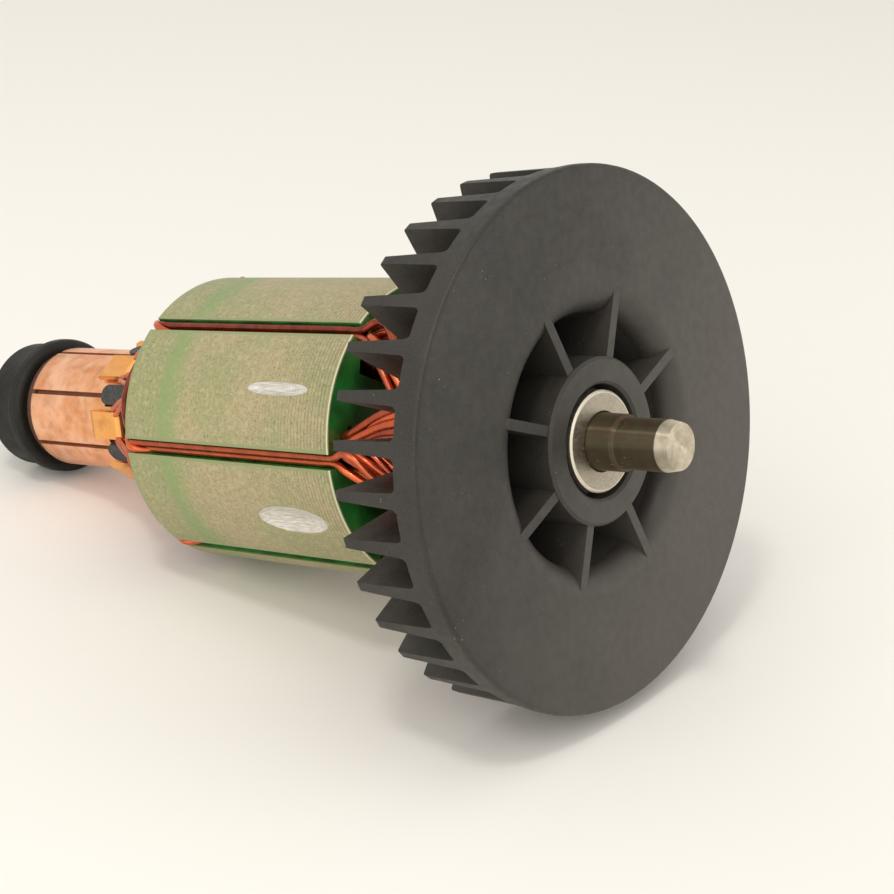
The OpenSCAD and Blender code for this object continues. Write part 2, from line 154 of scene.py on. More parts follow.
@dataclass(frozen=True)
class Core:
    """The coated core: its ends along the axis and its radius in millimetres, the number of its
    slots, and the angle of the first one in degrees."""

    front: float
    rear: float
    radius: float
    slots: int = 7
    phase: float = 7.8

    @classmethod
    def from_coat(cls) -> "Core":
        """Measure the core on its epoxy coat, which reaches both ends and the ground surface.

        Returns:
            The core's sizes, to a hundredth of a millimetre.
        """
        inverse = AXIS.matrix.inverted()
        points = [inverse @ vertex.co for vertex in frame["nodes"]["epoxy_coat"].data.vertices]
        stations = [point.z for point in points]
        return cls(round(max(stations), 2), round(min(stations), 2),
                   round(max(point.xy.length for point in points), 2))

    @property
    def pitch(self) -> float:
        """Angle from one slot to the next, in degrees."""
        return 360 / self.slots


CORE = Core.from_coat()


def add_piece(name: str, mesh: bpy.types.Mesh) -> bpy.types.Object:
    """Put a finished mesh into the scene as a piece of the object.

    Args:
        name: Name of the piece.
        mesh: Mesh in the row frame.

    Returns:
        The new object, riding on the armature.
    """
    piece = bpy.data.objects.new(name, mesh)
    bpy.context.collection.objects.link(piece)
    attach(piece, "root")
    log.info("%s: %d faces", name, len(mesh.polygons))
    return piece


# ------------------------------------------------------------------------ finishes

@dataclass(frozen=True)
class Finish:
    """A surface finish, with the steps that the finishes share."""

    name: str

    def start(self) -> tuple:
        """Make the empty material.

        Returns:
            Material, node tree and the sockets of the armature's own coordinates.
        """
        material = bpy.data.materials.new(self.name)
        material.use_nodes = True
        material.node_tree.nodes.clear()
        return material, material.node_tree, AXIS.coords(material.node_tree)

    @staticmethod
    def pattern(tree: bpy.types.NodeTree, point: bpy.types.NodeSocket, size_mm: float,
                detail: float = 2.0, stretch: tuple = (1, 1, 1)) -> bpy.types.NodeSocket:
        """Add a cloudy pattern whose patches have a given size.

        Args:
            tree: Node tree of the material.
            point: Coordinates in millimetres.
            size_mm: Size of one patch.
            detail: Octaves of finer pattern.
            stretch: Scale of the coordinates along each axis.

        Returns:
            Socket from zero to one.
        """
        scaled = add_node(tree, "ShaderNodeVectorMath",
                          {"operation": "MULTIPLY", 1: tuple(s / size_mm for s in stretch)},
                          {0: point})
        cloudy = add_node(tree, "ShaderNodeTexNoise", {"Scale": 1.0, "Detail": detail},
                          {"Vector": scaled.outputs[0]})
        return cloudy.outputs["Fac"]

    @staticmethod
    def coat(tree: bpy.types.NodeTree, under: Tone, over: Tone, mask: bpy.types.NodeSocket,
             span: tuple = (0.0, 1.0), cover: tuple = (0.0, 1.0),
             most: bpy.types.NodeSocket | None = None) -> bpy.types.NodeSocket:
        """Lay one colour over another where a mask calls for it.

        Args:
            tree: Node tree of the material.
            under: Hex value or socket of the lower colour.
            over: Hex value or socket of the upper colour.
            mask: Value that the cover follows.
            span: The mask's values between which the cover changes.
            cover: Shares of the upper colour at both ends of the span.
            most: Socket that takes the place of the second share.

        Returns:
            Socket with the colour.
        """
        share = add_node(tree, "ShaderNodeMapRange",
                         {1: span[0], 2: span[1], 3: cover[0], 4: cover[1]},
                         {0: mask} if most is None else {0: mask, 4: most})
        settings: dict = {"data_type": "RGBA"}
        links: dict = {0: share.outputs[0]}
        for number, tone in ((6, under), (7, over)):
            if isinstance(tone, str):
                settings[number] = colour(tone)
            else:
                links[number] = tone
        return add_node(tree, "ShaderNodeMix", settings, links).outputs[2]

    @staticmethod
    def close(tree: bpy.types.NodeTree, settings: dict, links: dict,
              height: bpy.types.NodeSocket | None = None, depth_mm: float = 0.0) -> None:
        """Add the shader, its bump and the output.

        Args:
            tree: Node tree of the material.
            settings: Constants of the shader.
            links: Sockets that feed the shader.
            height: Height of the bump, from zero to one.
            depth_mm: Depth that a height of one stands for.
        """
        if height is not None:
            bump = add_node(tree, "ShaderNodeBump", {"Strength": 1.0, "Distance": depth_mm * MM},
                            {"Height": height})
            links = {**links, "Normal": bump.outputs[0]}
        shader = add_node(tree, "ShaderNodeBsdfPrincipled", settings, links)
        add_node(tree, "ShaderNodeOutputMaterial", {}, {"Surface": shader.outputs[0]})


@dataclass(frozen=True)
class MouldedNylon(Finish):
    """Glass-filled black nylon, moulded: warm near-black with a fine eroded grain, a soft broad
    sheen that greys the faces turned to the light, a painted sheen that lightens the colour
    toward one side, and a few pale grains."""

    base: str = "#211f1c"
    grey: str = "#2c2a26"
    worn: str = "#47433c"
    painted_sheen: str = "#54504a"
    dust: str = "#8d877b"
    grain_mm: float = 0.16
    rough: float = 0.5

    def build(self) -> bpy.types.Material:
        """Build the material."""
        mat, tree, at = self.start()
        cloud = self.pattern(tree, at["point"], 7.0, 4.0)
        grit = self.pattern(tree, at["point"], self.grain_mm, 1.0)
        rub = self.pattern(tree, at["point"], 1.1, 4.0)
        tone = self.coat(tree, self.base, self.grey, cloud, (0.35, 0.65))
        tone = self.coat(tree, tone, self.worn, grit, (0.35, 0.75), (0.0, 0.35))
        # painted sheen: the colour lightens across the axis, down and to one side, with a cloudy
        # limit
        across = add_node(tree, "ShaderNodeVectorMath",
                          {"operation": "DOT_PRODUCT", 1: (0.6, 0.8, 0.0)}, {0: at["point"]})
        lower = add_node(tree, "ShaderNodeMath", {"operation": "MULTIPLY_ADD", 1: 12.0},
                         {0: cloud, 2: across.outputs["Value"]})
        tone = self.coat(tree, tone, self.painted_sheen, lower.outputs[0], (-10.0, 26.0), (0.0, 0.8))
        speck = self.pattern(tree, at["point"], 0.30, 0.0)
        spread = add_node(tree, "ShaderNodeMapRange", {1: 0.55, 2: 0.70, 4: 0.8},
                          {0: self.pattern(tree, at["point"], 4.0, 1.0)})
        tone = self.coat(tree, tone, self.dust, speck, (0.80, 0.84), most=spread.outputs[0])
        rough = add_node(tree, "ShaderNodeMapRange",
                         {1: 0.3, 2: 0.7, 3: self.rough - 0.07, 4: self.rough + 0.09}, {0: rub})
        height = add_node(tree, "ShaderNodeMath", {"operation": "MULTIPLY_ADD", 1: 0.8},
                          {0: rub, 2: grit})
        self.close(tree, {"IOR": 1.53, "Specular IOR Level": 0.36},
                   {"Base Color": tone, "Roughness": rough.outputs[0]}, height.outputs[0], 0.022)
        return mat


@dataclass(frozen=True)
class TurnedSteel(Finish):
    """Turned plain steel: fine tool marks run round the axis and break up the highlight; a brown
    tarnish covers it, with small pale spots, and the ground tip stays clean."""

    clean: str = "#e4dac6"
    dull: str = "#bdb29d"
    tarnish: str = "#605a49"
    brown: str = "#614c3a"
    dark: str = "#474234"
    spot: str = "#c4b9a0"
    clean_from: float = 8.6
    rough: float = 0.42
    mark_mm: float = 0.16

    def build(self) -> bpy.types.Material:
        """Build the material."""
        mat, tree, at = self.start()
        # a tangent along the axis draws the highlight out into a narrow line along the stub
        grain = add_node(tree, "ShaderNodeCombineXYZ", dict(zip("XYZ", AXIS.along)))
        # marks follow radius and station, so that they run round on faces and on cylinders
        flat = add_node(tree, "ShaderNodeCombineXYZ", {}, {"X": at["radius"], "Y": at["z"]})
        marks = self.pattern(tree, flat.outputs[0], self.mark_mm, 3.0)
        bands = self.pattern(tree, flat.outputs[0], 0.9, 2.0)
        cloud = self.pattern(tree, at["point"], 1.3, 4.0)
        spots = self.pattern(tree, at["point"], 0.42, 1.0)
        tone = self.coat(tree, self.tarnish, self.brown, cloud, (0.40, 0.70), (0.0, 0.8))
        tone = self.coat(tree, tone, self.dark, bands, (0.45, 0.75), (0.0, 0.25))
        tone = self.coat(tree, tone, self.spot, spots, (0.73, 0.78), (0.0, 0.7))
        bright = self.coat(tree, self.clean, self.dull, cloud, (0.35, 0.7))
        tip = (self.clean_from - 0.08, self.clean_from + 0.08)
        tone = self.coat(tree, tone, bright, at["z"], tip)
        matt = add_node(tree, "ShaderNodeMapRange",
                        {1: tip[0], 2: tip[1], 3: self.rough, 4: self.rough + 0.1}, {0: at["z"]})
        fine = add_node(tree, "ShaderNodeMapRange", {1: 0.3, 2: 0.7, 3: -0.05, 4: 0.09},
                        {0: marks})
        rough = add_node(tree, "ShaderNodeMath", {"operation": "ADD"},
                         {0: fine.outputs[0], 1: matt.outputs[0]})
        self.close(tree, {"Metallic": 1.0, "Anisotropic": 1.0},
                   {"Base Color": tone, "Roughness": rough.outputs[0],
                    "Tangent": grain.outputs[0]}, marks, 0.0018)
        return mat


@dataclass(frozen=True)
class BrushedSteel(Finish):
    """Faced steel collar: pale matte grey with a fine crossed scratch grain and a painted
    highlight on its rim.
    """

    face: str = "#9c9484"
    shade: str = "#7f776a"
    scratch: str = "#b9b1a2"
    rim: str = "#e4dccb"
    highlight_rim_r: float = 5.12
    rough: float = 0.42

    def build(self) -> bpy.types.Material:
        """Build the material."""
        mat, tree, at = self.start()
        grain = self.pattern(tree, at["point"], 0.2, 3.0, (1, 0.5, 1))
        cloud = self.pattern(tree, at["point"], 2.4, 3.0)
        tone = self.coat(tree, self.face, self.shade, cloud, (0.3, 0.7), (0.0, 0.6))
        tone = self.coat(tree, tone, self.scratch, grain, (0.35, 0.65), (0.0, 0.5))
        # painted highlight: the rim colour lightens the collar's outer edge
        tone = self.coat(tree, tone, self.rim, at["radius"],
                         (self.highlight_rim_r - 0.12, self.highlight_rim_r + 0.06))
        rough = add_node(tree, "ShaderNodeMapRange",
                         {1: 0.3, 2: 0.7, 3: self.rough - 0.08, 4: self.rough + 0.1}, {0: grain})
        self.close(tree, {"Metallic": 1.0}, {"Base Color": tone, "Roughness": rough.outputs[0]},
                   grain, 0.015)
        return mat


@dataclass(frozen=True)
class GroundLaminations(Finish):
    """Stacked electrical sheet, ground on its outside and sprayed over: mottled olive tan with
    fine lines across that show best near the fan, a greener band where the spray stayed thick,
    and bare metal in the milled balance cuts."""

    tan: str = "#a99c77"
    olive: str = "#8f9667"
    rust: str = "#8e7654"
    pit: str = "#717149"
    pale: str = "#bfb388"
    band: str = "#7b9458"
    line: str = "#565238"
    silver: str = "#c2beb6"
    shine: str = "#e6e2da"
    sheet_mm: float = 0.5
    band_from: float = -50.2
    band_to: float = -47.2

    def build(self) -> bpy.types.Material:
        """Build the material."""
        mat, tree, at = self.start()
        fleck = self.pattern(tree, at["point"], 0.26, 2.0)
        coarse = self.pattern(tree, at["point"], 0.55, 3.0)
        cloud = self.pattern(tree, at["point"], 6.0, 3.0)
        # mottle, greener behind the band
        behind = add_node(tree, "ShaderNodeMapRange",
                          {1: self.band_from, 2: self.band_from + 2.0, 3: 0.5, 4: 0.0},
                          {0: at["z"]})
        cloudy = add_node(tree, "ShaderNodeMapRange", {1: 0.35, 2: 0.65, 4: 0.7}, {0: cloud})
        mossy = add_node(tree, "ShaderNodeMath", {"operation": "ADD"},
                         {0: cloudy.outputs[0], 1: behind.outputs[0]})
        tone = self.coat(tree, self.tan, self.olive, mossy.outputs[0])
        tone = self.coat(tree, tone, self.rust, fleck, (0.53, 0.68), (0.0, 0.75))
        tone = self.coat(tree, tone, self.pit, fleck, (0.33, 0.45), (0.8, 0.0))
        tone = self.coat(tree, tone, self.pale, coarse, (0.50, 0.66), (0.0, 0.4))
        # thick spray: a ragged band near the commutator end
        ragged = add_node(tree, "ShaderNodeMapRange", {1: 0.3, 2: 0.7, 3: -0.5, 4: 0.5},
                          {0: coarse})
        wobble = add_node(tree, "ShaderNodeMath", {"operation": "ADD"},
                          {0: at["z"], 1: ragged.outputs[0]})
        fall = add_node(tree, "ShaderNodeMapRange",
                        {1: self.band_to - 1.4, 2: self.band_to + 1.4, 3: 0.7, 4: 0.0},
                        {0: wobble.outputs[0]})
        tone = self.coat(tree, tone, self.band, wobble.outputs[0],
                         (self.band_from - 0.3, self.band_from + 0.5), most=fall.outputs[0])
        # edges of the sheets, one line for each
        turn = add_node(tree, "ShaderNodeMath",
                        {"operation": "MULTIPLY", 1: 2 * math.pi / self.sheet_mm}, {0: at["z"]})
        wave = add_node(tree, "ShaderNodeMath", {"operation": "COSINE"}, {0: turn.outputs[0]})
        near_fan = add_node(tree, "ShaderNodeMapRange",
                            {1: CORE.front - 13.0, 2: CORE.front - 1.0, 3: 0.12}, {0: at["z"]})
        lines = add_node(tree, "ShaderNodeMapRange", {1: 0.3, 2: 1.0},
                         {0: wave.outputs[0], 4: near_fan.outputs[0]})
        tone = self.coat(tree, tone, self.line, lines.outputs[0], cover=(0.0, 0.42))
        # the milled cuts lie below the ground surface
        below = add_node(tree, "ShaderNodeMapRange",
                         {1: CORE.radius - 0.09, 2: CORE.radius - 0.04, 3: 1.0, 4: 0.0},
                         {0: at["radius"]})
        bare = add_node(tree, "ShaderNodeMapRange", {1: CORE.radius - 1.1, 2: CORE.radius - 1.0},
                        {0: at["radius"], 4: below.outputs[0]})
        scratch = self.pattern(tree, at["point"], 0.16, 2.0, (1, 1, 0.1))
        metal = self.coat(tree, self.silver, self.shine, scratch, (0.35, 0.65))
        tone = self.coat(tree, tone, metal, bare.outputs[0])
        metallic = add_node(tree, "ShaderNodeMath", {"operation": "MULTIPLY", 1: 0.75},
                            {0: bare.outputs[0]})
        rough = add_node(tree, "ShaderNodeMapRange", {3: 0.5, 4: 0.4}, {0: bare.outputs[0]})
        height = add_node(tree, "ShaderNodeMath", {"operation": "SUBTRACT"},
                          {0: fleck, 1: lines.outputs[0]})
        self.close(tree, {"IOR": 1.5}, {"Base Color": tone, "Metallic": metallic.outputs[0],
                                        "Roughness": rough.outputs[0]},
                   height.outputs[0], 0.035)
        return mat


@dataclass(frozen=True)
class SprayedEpoxy(Finish):
    """Electrostatic epoxy spray: deep glossy green with a slight orange peel, with painted shade
    that darkens it toward the windings deep in the slots, and rubbed thin and pale where it was
    ground flush with the core."""

    light: str = "#2b8238"
    dark: str = "#175320"
    painted_shade: str = "#0a2410"
    thin: str = "#8b9160"
    edge: str = "#dcd6b4"

    def build(self) -> bpy.types.Material:
        """Build the material."""
        mat, tree, at = self.start()
        peel = self.pattern(tree, at["point"], 0.9, 1.0)
        cloud = self.pattern(tree, at["point"], 3.0, 4.0)
        tone = self.coat(tree, self.light, self.dark, cloud, (0.35, 0.65))
        # painted shade: the green darkens toward the windings, below a radius of 14.9 mm
        tone = self.coat(tree, tone, self.painted_shade, at["radius"], (14.9, 12.6), (0.0, 0.8))
        rim = (CORE.radius - 0.22, CORE.radius - 0.05)
        tone = self.coat(tree, tone, self.thin, at["radius"], rim, (0.0, 0.9))
        front = add_node(tree, "ShaderNodeMapRange",
                         {1: CORE.front - 0.28, 2: CORE.front - 0.16, 4: 0.8}, {0: at["z"]})
        tone = self.coat(tree, tone, self.edge, at["radius"], rim, most=front.outputs[0])
        self.close(tree, {"Roughness": 0.3, "IOR": 1.55, "Coat Weight": 0.2,
                          "Coat Roughness": 0.2}, {"Base Color": tone}, peel, 0.06)
        return mat


@dataclass(frozen=True)
class EnamelledCopper(Finish):
    """Copper wire under amber polyester enamel: wine red in the shade, with a bright orange
    streak along each strand where it faces the light, and painted shade down in the slots."""

    amber: str = "#cf5f31"
    wine: str = "#702616"
    painted_slot_shade: str = "#2c0e08"

    def build(self) -> bpy.types.Material:
        """Build the material."""
        mat, tree, at = self.start()
        cloud = self.pattern(tree, at["point"], 1.8, 3.0)
        strand = add_node(tree, "ShaderNodeAttribute", {"attribute_name": "strand"})
        both = add_node(tree, "ShaderNodeMath", {"operation": "ADD"},
                        {0: cloud, 1: strand.outputs["Fac"]})
        tone = self.coat(tree, self.amber, self.wine, both.outputs[0], (0.5, 1.5))
        # painted shade: darker toward the bottom of a slot, and hardly any outside both ends of
        # the core
        deep = add_node(tree, "ShaderNodeMapRange",
                        {1: CORE.radius - 2.85, 2: CORE.radius - 0.55, 3: 0.85, 4: 0.15},
                        {0: at["radius"]})
        fan_end = add_node(tree, "ShaderNodeMapRange",
                           {1: CORE.front - 0.6, 2: CORE.front + 1.2, 4: 0.85}, {0: at["z"]})
        bar_end = add_node(tree, "ShaderNodeMapRange",
                           {1: CORE.rear + 1.6, 2: CORE.rear + 0.2, 4: 0.75}, {0: at["z"]})
        outside = add_node(tree, "ShaderNodeMath", {"operation": "MAXIMUM"},
                           {0: fan_end.outputs[0], 1: bar_end.outputs[0]})
        painted_shade = add_node(tree, "ShaderNodeMath", {"operation": "SUBTRACT"},
                         {0: deep.outputs[0], 1: outside.outputs[0]})
        tone = self.coat(tree, tone, self.painted_slot_shade, painted_shade.outputs[0])
        rough = add_node(tree, "ShaderNodeMapRange", {1: 0.3, 2: 0.7, 3: 0.2, 4: 0.34},
                         {0: cloud})
        self.close(tree, {"Metallic": 0.8, "Coat Weight": 0.35, "Coat Roughness": 0.1,
                          "Coat IOR": 1.5}, {"Base Color": tone, "Roughness": rough.outputs[0]})
        return mat


@dataclass(frozen=True)
class TurnedCopper(Finish):
    """Turned commutator copper: pink orange metal with fine rings, a paler brushed track, golden
    hooks and a light brown stain toward the riser end."""

    fresh: str = "#fac39c"
    worn: str = "#e69b6a"
    pale: str = "#f6c9ab"
    gold: str = "#f0aa55"
    stain: str = "#a8683c"
    riser_z: float = -67.0
    track_r: float = 7.65

    def build(self) -> bpy.types.Material:
        """Build the material."""
        mat, tree, at = self.start()
        flat = add_node(tree, "ShaderNodeCombineXYZ", {}, {"X": at["radius"], "Y": at["z"]})
        rings = self.pattern(tree, flat.outputs[0], 0.22, 3.0)
        bands = self.pattern(tree, flat.outputs[0], 2.2, 2.0)
        cloud = self.pattern(tree, at["point"], 3.0, 3.0)
        patch = self.pattern(tree, at["point"], 1.6, 4.0)
        tone = self.coat(tree, self.fresh, self.worn, cloud, (0.35, 0.65))
        tone = self.coat(tree, tone, self.pale, bands, (0.45, 0.7), (0.0, 0.4))
        tone = self.coat(tree, tone, self.gold, at["z"],
                         (self.riser_z - 10.0, self.riser_z - 1.0), (0.0, 0.45))
        tone = self.coat(tree, tone, self.gold, at["radius"],
                         (self.track_r + 0.1, self.track_r + 0.4), (0.0, 0.7))
        tone = self.coat(tree, tone, self.stain, patch, (0.50, 0.75), (0.0, 0.45))
        rough = add_node(tree, "ShaderNodeMapRange", {1: 0.3, 2: 0.7, 3: 0.28, 4: 0.44},
                         {0: rings})
        self.close(tree, {"Metallic": 0.9}, {"Base Color": tone, "Roughness": rough.outputs[0]},
                   rings, 0.02)
        return mat


@dataclass(frozen=True)
class PressedResin(Finish):
    """Glass-filled phenolic pressing: dull near-black grey with a faint mineral mottle. Below
    a given radius it is browned by copper dust, as in the slits of a commutator."""

    base: str = "#2b2a29"
    mottle: str = "#474543"
    dusty: str = "#744730"
    dust_r: float = 0.0
    rough: float = 0.6
    gloss: float = 0.4

    def build(self) -> bpy.types.Material:
        """Build the material."""
        mat, tree, at = self.start()
        fleck = self.pattern(tree, at["point"], 0.4, 3.0)
        cloud = self.pattern(tree, at["point"], 3.0, 2.0)
        tone = self.coat(tree, self.base, self.mottle, fleck, (0.42, 0.72))
        if self.dust_r:
            tone = self.coat(tree, tone, self.dusty, at["radius"],
                             (self.dust_r - 0.1, self.dust_r), (0.85, 0.0))
        rough = add_node(tree, "ShaderNodeMapRange",
                         {1: 0.3, 2: 0.7, 3: self.rough - 0.1, 4: self.rough + 0.1}, {0: cloud})
        self.close(tree, {"IOR": 1.6, "Specular IOR Level": self.gloss},
                   {"Base Color": tone, "Roughness": rough.outputs[0]}, fleck, 0.03)
        return mat


# ------------------------------------------------------------------------ solids

@dataclass
class Solids:
    """The pieces whose own solids show, with the finish of each.

    Below slit_r the commutator's moulding lies in the slits between the bars.
    """

    slit_r: float = 7.3

    def finishes(self) -> dict[str, bpy.types.Material]:
        """Build the finishes.

        Returns:
            Material for each node, with one entry for all the commutator's bars.
        """
        tube = PressedResin("paper_tube", base="#cfc6a8", mottle="#ddd6bd", rough=0.7).build()
        return {
            "shaft": TurnedSteel("tarnished_turned_steel").build(),
            "cooling_fan": MouldedNylon("glass_filled_nylon").build(),
            "fan_collar": BrushedSteel("faced_steel_collar").build(),
            "lamination_stack": GroundLaminations("ground_electrical_sheet").build(),
            "epoxy_coat": SprayedEpoxy("sprayed_green_epoxy").build(),
            "front_sleeve": tube,
            "rear_sleeve": tube,
            "commutator_moulding": PressedResin("pressed_phenolic", dust_r=self.slit_r).build(),
            "commutator_bar": TurnedCopper("turned_commutator_copper").build(),
            "end_sleeve": PressedResin("black_phenolic_ring", base="#0e0e09", mottle="#191911",
                                       rough=0.56, gloss=0.24).build()}

    def build(self) -> None:
        """Give every solid its finish, apart from the coils, which the wires replace."""
        finishes = self.finishes()
        for name, solid in frame["nodes"].items():
            if name.startswith("coil_"):
                continue
            kind = "commutator_bar" if name.startswith("commutator_bar") else name
            for slot in solid.material_slots:
                slot.material = finishes[kind]
            log.info("%s: %s", name, finishes[kind].name)


# ------------------------------------------------------------------------ windings

class Side(Enum):
    """The end of the core at which an end turn lies."""

    FAN = 1
    COMMUTATOR = -1


@dataclass
class Wires:
    """Round wires that are laid along smooth curves and made one mesh."""

    name: str
    wire_d: float
    fineness: int

    def __post_init__(self) -> None:
        """Make the empty curve that takes the wires."""
        self.curve = bpy.data.curves.new(self.name, "CURVE")
        self.curve.dimensions = "3D"
        self.curve.bevel_depth = self.wire_d / 2 * MM
        self.curve.bevel_resolution = 2
        self.curve.resolution_u = self.fineness

    def lay(self, points: list[Vector], place: Matrix, shares: list[float] | None = None,
            closed: bool = False) -> None:
        """Lay one wire.

        Args:
            points: Points that the wire passes, in millimetres.
            place: Matrix from the points' frame to the row frame.
            shares: Share of the wire's thickness at each point.
            closed: Whether the wire ends where it starts; if not, its ends are capped.
        """
        spline = self.curve.splines.new("BEZIER")
        spline.bezier_points.add(len(points) - 1)
        for knot, point, share in zip(spline.bezier_points, points, shares or [1.0] * len(points)):
            knot.co = place @ point
            knot.radius = share
            knot.handle_left_type = knot.handle_right_type = "AUTO"
        spline.use_cyclic_u = closed
        self.curve.use_fill_caps = not closed

    def mesh(self, finish: bpy.types.Material) -> bpy.types.Mesh:
        """Turn all the wires into one smooth mesh.

        Args:
            finish: Material of the wire.

        Returns:
            The mesh, with the wires one after the other.
        """
        former = bpy.data.objects.new(self.name, self.curve)
        bpy.context.collection.objects.link(former)
        bpy.context.view_layer.update()
        mesh = bpy.data.meshes.new_from_object(
            former.evaluated_get(bpy.context.evaluated_depsgraph_get()))
        bpy.data.objects.remove(former)
        mesh.name = self.name
        mesh.materials.clear()
        mesh.materials.append(finish)
        for polygon in mesh.polygons:
            polygon.use_smooth = True
        return mesh


@dataclass
class Coil:
    """One coil of the lap winding, wound from separate strands of enamelled wire.

    A station of the bundle is its radius, its angle in degrees from the outer coil side, its
    place along the axis, and the bundle's half sizes along the radius and across it.
    """

    number: int
    wire_d: float = 0.9
    slots_spanned: int = 2
    steps: int = 12

    # the bundle: both coil sides in their slots, its straight run outside them, and for each end
    # turn its middle radius, the swing and dip of that radius and its rise off the core
    outer_r: float = 13.45
    inner_r: float = 9.9
    outer_size: tuple = (1.42, 2.1)
    inner_size: tuple = (2.0, 1.4)
    turn_size: tuple = (1.3, 1.8)
    straight: float = 1.8
    fan_turn: tuple = (11.3, 2.4, 0.6, 8.4)
    bar_turn: tuple = (9.9, 2.5, 0.6, 4.6)

    # how far inside the core the sides have one more station, and how close to an end of the
    # core a station still counts as in the slot
    lead: float = 2.0
    close_by: float = 0.1

    # the strands: their places in the section as shares of its half sizes, how far they wander
    # and twist in radians, and how far from the core's middle they are fully loose
    grid: list = field(default_factory=lambda: [
        (-0.62, -0.68), (0.05, -0.74), (0.66, -0.60), (-0.72, -0.23), (-0.22, -0.30),
        (0.28, -0.26), (0.74, -0.18), (-0.74, 0.22), (-0.24, 0.18), (0.26, 0.22),
        (0.74, 0.24), (-0.62, 0.66), (0.04, 0.64), (0.62, 0.64)])
    wander: float = 0.22
    twist: float = 0.9
    loose_at: float = 22.0

    # strands that fill the slot's mouth, and strands that leave it high at the fan end
    mouth: dict = field(default_factory=lambda: {11: (-0.2, 2.3), 13: (0.2, 1.95)})
    lifted: dict = field(default_factory=lambda: {11: 1.5, 12: 1.3, 13: 1.1, 8: 0.9, 9: 0.7})
    lifted_share: float = 0.4

    # strands that cross over the neighbouring coil: radius and offset at the slot's mouth, and
    # how far each lags behind at the top, then the top itself and how far inside they start
    over: dict = field(default_factory=lambda: {
        7: (14.5, 2.3, -0.4), 8: (13.9, 2.2, 0.5), 10: (14.8, 1.6, 0.7), 11: (14.2, 1.3, 1.4),
        12: (14.7, 0.8, 1.7), 13: (13.9, 0.6, 2.5)})
    over_r: float = 14.7
    over_z: float = 9.6
    over_lift: float = 0.3
    over_share: float = 0.17
    over_start: tuple = (1.3, 0.2, 1.2)

    @property
    def span(self) -> float:
        """Angle from the outer to the inner coil side, in degrees."""
        return self.slots_spanned * CORE.pitch

    def end_turn(self, t: float, side: Side) -> tuple:
        """Give the station of an end turn.

        Args:
            t: Share of the way round from the outer to the inner coil side.
            side: End of the core.

        Returns:
            Radius, angle, station along the axis, and the bundle's two half sizes.
        """
        mix = math.sin(math.pi * t)
        z0 = CORE.front if side is Side.FAN else CORE.rear
        middle, swing, dip, rise = self.fan_turn if side is Side.FAN else self.bar_turn
        start = self.outer_size if t < 0.5 else self.inner_size
        size = [a * (1 - mix) + b * mix for a, b in zip(start, self.turn_size)]
        return (middle + swing * math.cos(math.pi * t) - dip * mix, self.span * t,
                z0 + side.value * (self.straight + rise * max(mix, 0.0) ** 0.75), *size)

    def stations(self) -> list[tuple]:
        """Give the closed loop of stations that the bundle follows."""
        turns = [i / self.steps for i in range(self.steps + 1)]
        loop = [(self.outer_r, 0.0, CORE.front, *self.outer_size)]
        loop += [self.end_turn(t, Side.FAN) for t in turns]
        down = [CORE.front, CORE.front - self.lead, CORE.rear + self.lead, CORE.rear]
        loop += [(self.inner_r, self.span, z, *self.inner_size) for z in down]
        loop += [self.end_turn(t, Side.COMMUTATOR) for t in reversed(turns)]
        loop += [(self.outer_r, 0.0, z, *self.outer_size) for z in reversed(down[1:])]
        return loop

    def centre(self, station: tuple) -> Vector:
        """Give the middle of the bundle at a station."""
        angle = math.radians(station[1])
        return Vector((station[0] * math.cos(angle), station[0] * math.sin(angle), station[2]))

    def strand(self, number: int, chance: random.Random) -> list[Vector]:
        """Lay one strand through the bundle.

        Args:
            number: Place of the strand in the bundle's section.
            chance: Source of the small unevenness of hand-guided wire.

        Returns:
            Points in the frame of the coil's outer side.
        """
        loop = self.stations()
        across, high = self.grid[number]
        drift = [chance.uniform(-self.wander, self.wander) for _ in range(4)]
        twist = chance.uniform(-self.twist, self.twist)
        lifted_to = self.lifted_share * CORE.pitch
        points = []
        for i, station in enumerate(loop):
            here = self.centre(station)
            ahead = self.centre(loop[(i + 1) % len(loop)])
            behind = self.centre(loop[i - 1])
            out = Vector((here.x, here.y, 0)).normalized()
            run = (ahead - here).normalized() + (here - behind).normalized()
            side = (run - run.dot(out) * out).cross(out).normalized()
            share = 2 * math.pi * i / len(loop)
            in_slot = CORE.rear - self.close_by <= station[2] <= CORE.front + self.close_by
            from_middle = abs(station[2] - (CORE.front + CORE.rear) / 2)
            loose = 0.0 if in_slot else min(1.0, from_middle / self.loose_at)
            u = across + loose * (drift[0] * math.sin(2 * share) + drift[1] * math.cos(3 * share))
            v = high + loose * (drift[2] * math.sin(3 * share) + drift[3] * math.cos(2 * share))
            angle = loose * twist * math.sin(share)
            if number in self.mouth and in_slot and station[1] == 0.0:
                u, v = self.mouth[number]
            elif number in self.lifted and station[2] > CORE.front and station[1] < lifted_to:
                v += self.lifted[number] * (1 - station[1] / lifted_to)
            u, v = (u * math.cos(angle) - v * math.sin(angle),
                    u * math.sin(angle) + v * math.cos(angle))
            # the outermost strands stay a quarter of a wire inside the bundle's own outline
            high_r, wide_r = (half - self.wire_d / 4 for half in station[3:])
            points.append(self.overpass(number, station, here + out * v * high_r
                                        + side * u * wide_r))
        return points

